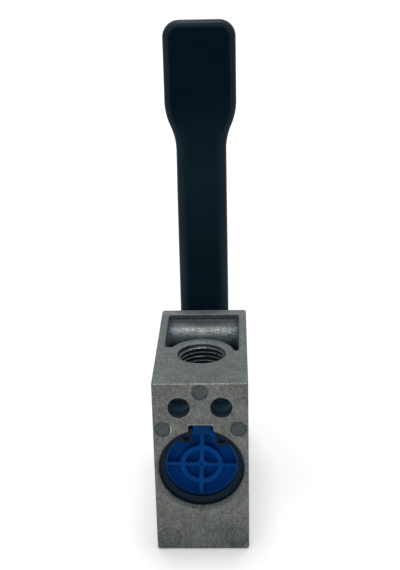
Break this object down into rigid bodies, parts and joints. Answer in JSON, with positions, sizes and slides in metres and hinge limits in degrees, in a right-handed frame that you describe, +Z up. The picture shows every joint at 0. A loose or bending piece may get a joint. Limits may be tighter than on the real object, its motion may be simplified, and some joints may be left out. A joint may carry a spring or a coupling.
{
  "type": "hand lever poppet valve",
  "caption": "Hand-lever poppet valve: die-cast block with threaded ports, cross mounting holes, a keyed end cap held by an internal retaining ring, and a paddle lever hinged at the rear.",
  "frame": {"origin": "middle of the block's base face", "axes": "+Z up along the block's height and the upright lever, +X across the block, -Y is the side with the end cap and +Y the side with the lever"},
  "size_m": [0.03, 0.0804, 0.1611],
  "materials": {
    "cast_block": "raw die-cast, fine grain",
    "lever_black": "black, matte, glass-filled moulding",
    "cap_blue": "blue moulding",
    "spring_steel_black": "blackened spring steel",
    "seal_rubber": "nitrile rubber",
    "sleeve_brass": "turned brass",
    "turned_steel": "turned steel",
    "spring_steel": "spring steel",
    "bearing_plastic": "bearing plastic"
  },
  "bodies": {
    "housing": {"valve_body": "cast_block", "seat_sleeve": "sleeve_brass", "sleeve_o_ring": "seal_rubber", "end_cap": "cap_blue", "end_cap_o_ring": "seal_rubber", "poppet_post_seal": "seal_rubber", "retaining_ring": "spring_steel_black", "tappet_guide": "bearing_plastic", "tappet_wiper": "seal_rubber", "guide_retaining_ring": "spring_steel_black", "spring_washer": "spring_steel", "return_spring": "spring_steel", "poppet_spring": "spring_steel", "pivot_pin": "turned_steel", "pin_clip_left": "spring_steel", "pin_clip_right": "spring_steel", "supply_strainer": "spring_steel"},
    "lever_arm": {"lever": "lever_black", "lever_bush_left": "bearing_plastic", "lever_bush_right": "bearing_plastic"},
    "tappet_rod": {"tappet": "turned_steel", "tappet_o_ring": "seal_rubber", "thrust_button": "turned_steel"},
    "poppet_unit": {"poppet": "sleeve_brass", "poppet_seal": "seal_rubber"}
  },
  "joints": [
    {"name": "lever_swing", "type": "hinge", "parent": "housing", "child": "lever_arm", "pos_m": [0, 0.0404, 0.0318], "axis": [-1, 0, 0], "range_deg": [0, 90]},
    {"name": "tappet_slide", "type": "slide", "parent": "housing", "child": "tappet_rod", "axis": [0, -1, 0], "range_m": [0, 0.003], "deforming": ["return_spring"]},
    {"name": "poppet_slide", "type": "slide", "parent": "housing", "child": "poppet_unit", "axis": [0, -1, 0], "range_m": [0, 0.002], "deforming": ["poppet_spring"]}
  ],
  "couplings": [
    {"joint": "tappet_slide", "follows": "lever_swing", "m_per_rad": 0.0019098},
    {"joint": "poppet_slide", "follows": "lever_swing", "m_per_rad": 0.0012732}
  ]
}
